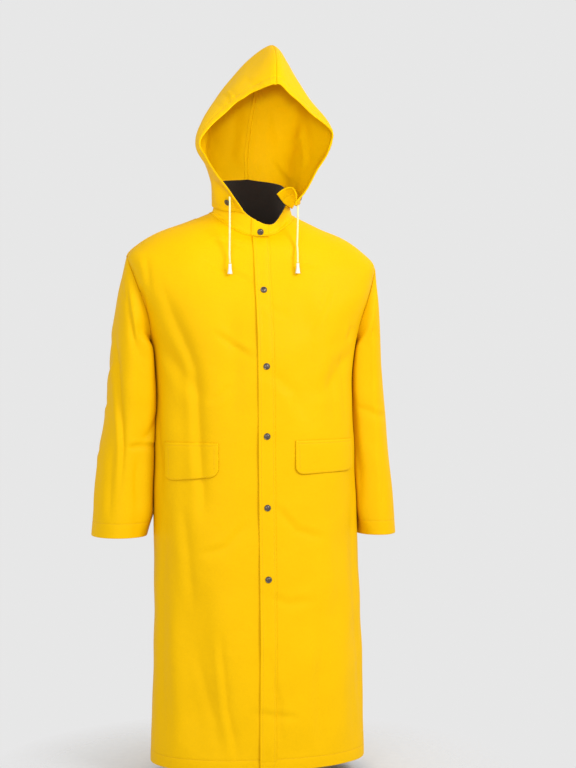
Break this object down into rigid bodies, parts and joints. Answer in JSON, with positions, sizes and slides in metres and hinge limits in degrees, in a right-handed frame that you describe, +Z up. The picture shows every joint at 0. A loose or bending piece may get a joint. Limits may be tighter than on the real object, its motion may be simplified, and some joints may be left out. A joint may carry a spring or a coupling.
{
  "type": "hooded raincoat",
  "caption": "Long hooded raincoat in yellow coated cloth, filled out with no wearer, with a snap front under a fly, a stand collar with dark facing, hip pocket flaps and a hood drawcord.",
  "frame": {"origin": "the middle of the neck, level with the back of the collar seam, where the wearer's neck and shoulders hold the coat up", "axes": "+Z up, from hem to hood; -Y is the front, the way the wearer faces; +X is the wearer's left"},
  "size_m": [0.6966, 0.3257, 1.5922],
  "materials": {
    "yellow_cloth": "satin coating with a fine grain",
    "dark_facing": "matt, finely ribbed",
    "gunmetal_snap": "dark plated, domed",
    "cream_cord": "braided",
    "white_tip": "moulded"
  },
  "bodies": {
    "root": {"back": "yellow_cloth", "back_cape": "yellow_cloth", "collar": "yellow_cloth", "collar_facing": "dark_facing", "collar_tab": "yellow_cloth", "cord_left": "cream_cord", "cord_right": "cream_cord", "cord_tip_left": "white_tip", "cord_tip_right": "white_tip", "fly": "yellow_cloth", "front_left": "yellow_cloth", "front_right": "yellow_cloth", "front_snap_1": "gunmetal_snap", "front_snap_2": "gunmetal_snap", "front_snap_3": "gunmetal_snap", "front_snap_4": "gunmetal_snap", "front_snap_5": "gunmetal_snap", "front_snap_6": "gunmetal_snap", "hood_left": "yellow_cloth", "hood_right": "yellow_cloth", "hood_snap_left_front": "gunmetal_snap", "hood_snap_left_rear": "gunmetal_snap", "hood_snap_right_front": "gunmetal_snap", "hood_snap_right_rear": "gunmetal_snap", "pocket_flap_left": "yellow_cloth", "pocket_flap_right": "yellow_cloth", "sleeve_left": "yellow_cloth", "sleeve_right": "yellow_cloth"}
  },
  "joints": []
}
